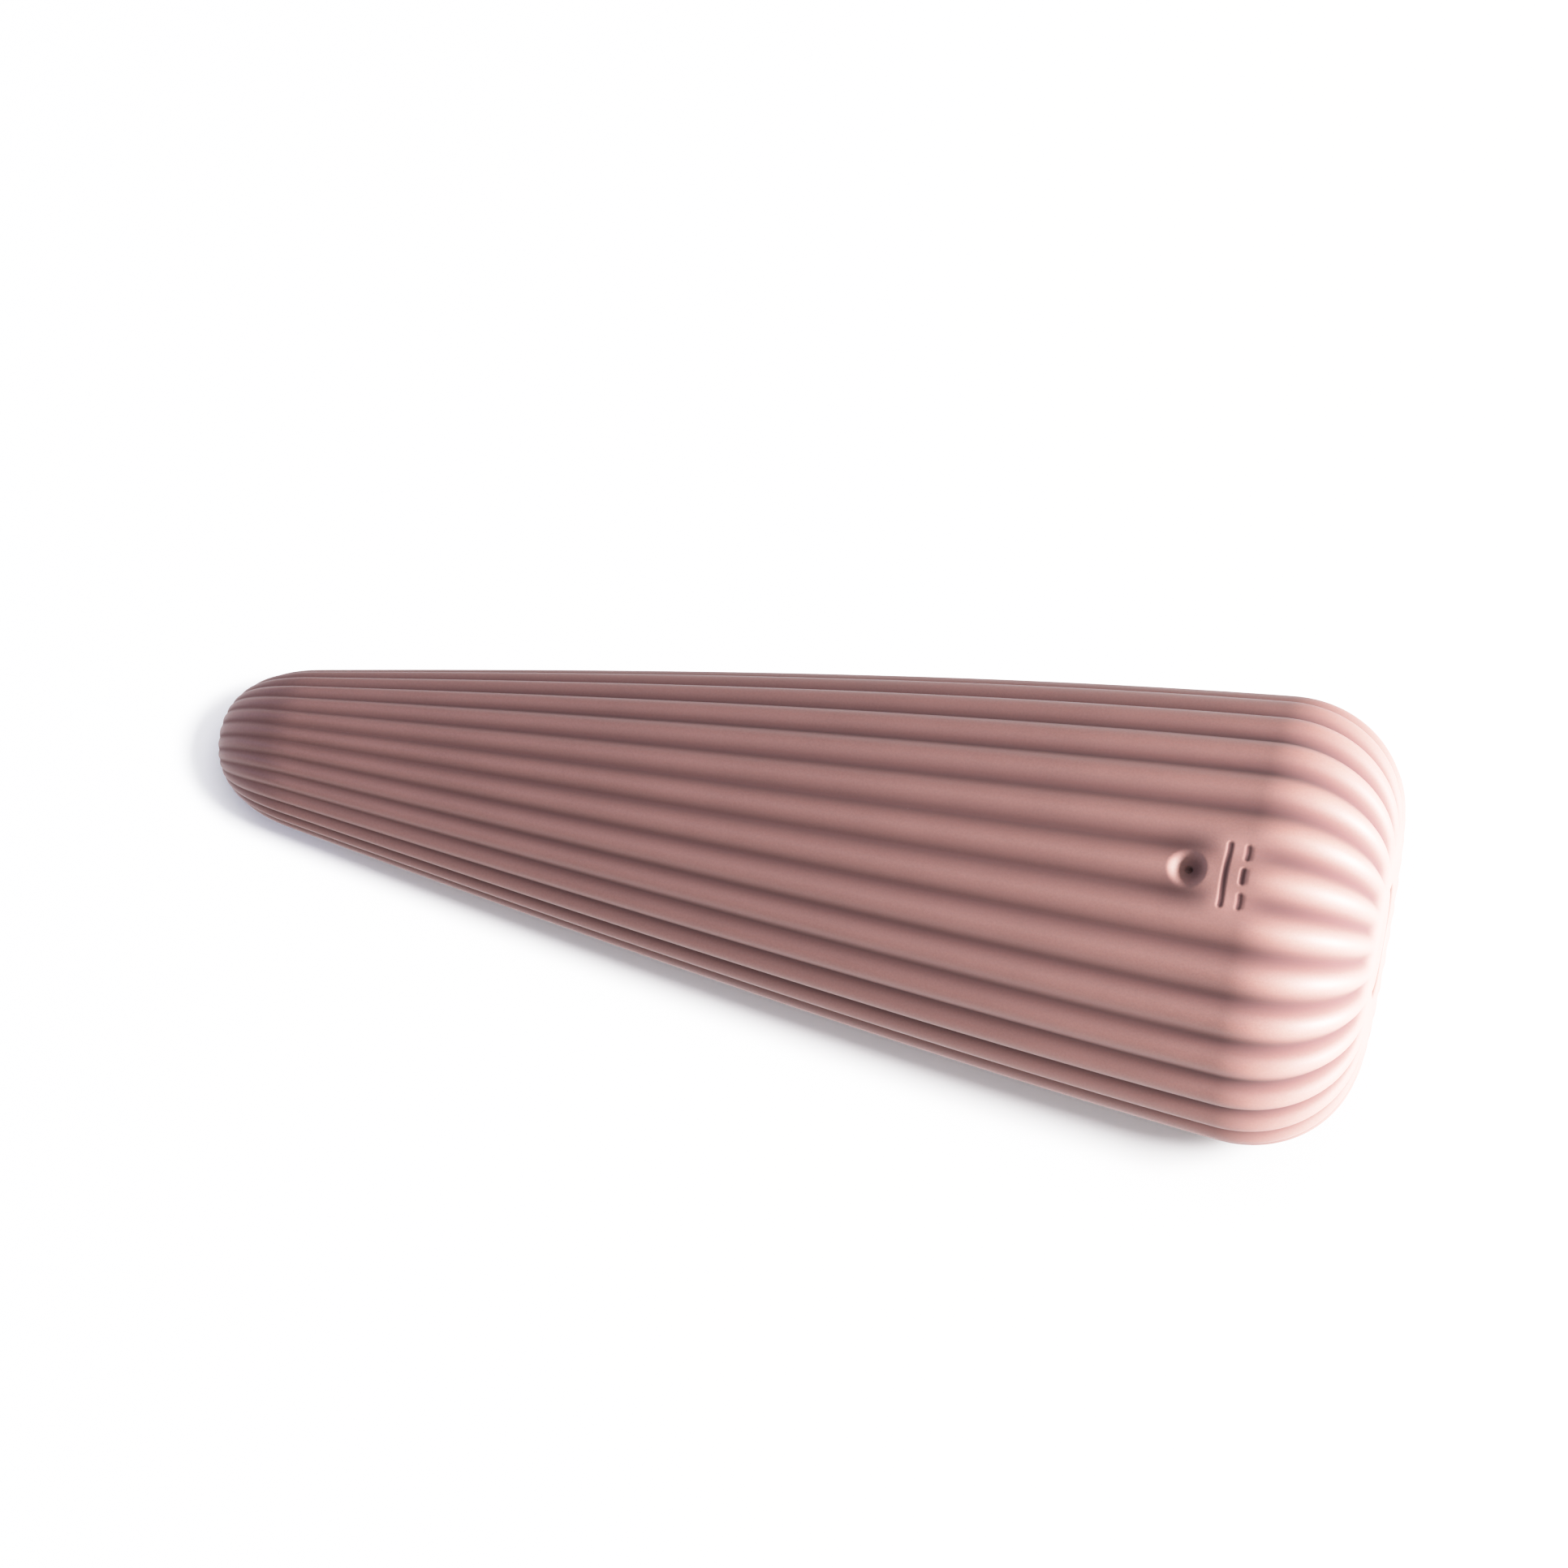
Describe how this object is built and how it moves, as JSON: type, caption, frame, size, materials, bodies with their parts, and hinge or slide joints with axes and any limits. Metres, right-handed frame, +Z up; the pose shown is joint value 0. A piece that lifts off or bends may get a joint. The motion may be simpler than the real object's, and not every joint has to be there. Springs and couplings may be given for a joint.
{
  "type": "handheld massager",
  "caption": "Tapered, lengthwise-ribbed handheld massager: silicone sleeve, pin-hole charging port with a dimple, end button, and a motor with an eccentric weight inside.",
  "frame": {"origin": "centre of the footprint box at floor height, with the body lying on its belly", "axes": "+X from the narrow end to the wide end, +Z up, towards the charging port; the body's own axis rises 7.5 degrees from -X to +X because it lies on its tapered belly"},
  "size_m": [0.1306, 0.0488, 0.0492],
  "materials": {
    "board": "solder mask",
    "bronze": "sintered bronze",
    "button_silicone": "matte silicone",
    "capacitor": "ceramic body",
    "carbon": "carbon brush",
    "casing": "moulded ABS",
    "cell_cap": "nickel plated",
    "cell_wrap": "shrink sleeve",
    "chip": "moulded package",
    "connector": "natural nylon",
    "copper": "copper",
    "damper": "soft damper rubber",
    "end_plastic": "moulded",
    "ferrite": "ferrite",
    "foam": "closed cell foam",
    "gold": "gold plated",
    "jack_plastic": "moulded",
    "led_lens": "clear epoxy lens",
    "magnet": "ferrite magnet",
    "motor_steel": "drawn steel",
    "plunger": "moulded",
    "screw_steel": "zinc plated",
    "seal": "moulded rubber",
    "silicone": "matte silicone",
    "switch_plastic": "moulded",
    "tungsten": "sintered heavy alloy",
    "winding": "enamelled copper winding",
    "wire_black": "insulated wire",
    "wire_red": "insulated wire"
  },
  "bodies": {
    "housing": {"battery_cap": "cell_cap", "battery_cell": "cell_wrap", "battery_connector": "connector", "battery_lead_1": "wire_red", "battery_lead_2": "wire_black", "battery_pad": "foam", "board_screw_1": "screw_steel", "board_screw_2": "screw_steel", "button_board": "board", "capacitor_1": "capacitor", "capacitor_2": "capacitor", "casing_gasket": "seal", "casing_lower": "casing", "casing_screw_1": "screw_steel", "casing_screw_2": "screw_steel", "casing_screw_3": "screw_steel", "casing_screw_4": "screw_steel", "casing_upper": "casing", "charge_chip": "chip", "control_chip": "chip", "inductor": "ferrite", "jack_body": "jack_plastic", "jack_pin": "gold", "main_board": "board", "motor_brush_1": "carbon", "motor_brush_2": "carbon", "motor_bushing_front": "bronze", "motor_bushing_rear": "bronze", "motor_can": "motor_steel", "motor_connector": "connector", "motor_endcap": "end_plastic", "motor_lead_1": "wire_red", "motor_lead_2": "wire_black", "motor_magnet_1": "magnet", "motor_magnet_2": "magnet", "motor_sleeve": "damper", "port_seal": "seal", "silicone_skin": "silicone", "status_led": "led_lens", "switch_lead_1": "wire_red", "switch_lead_2": "wire_black", "switch_plunger": "plunger", "switch_screw_1": "screw_steel", "switch_screw_2": "screw_steel", "tact_switch": "switch_plastic"},
    "rotor": {"motor_shaft": "screw_steel", "motor_armature": "winding", "motor_commutator": "copper", "eccentric_weight": "tungsten"},
    "button": {"button_cap": "button_silicone"}
  },
  "joints": [
    {"name": "motor_spin", "type": "hinge", "parent": "housing", "child": "rotor", "pos_m": [-0.02756, 0, 0.01447], "axis": [0.9914, 0, 0.1305], "continuous": true},
    {"name": "button_press", "type": "slide", "parent": "housing", "child": "button", "axis": [-0.9914, 0, -0.1305], "range_m": [0, 0.0006], "stiffness_N_per_m": 800, "springref_m": -0.0006}
  ]
}
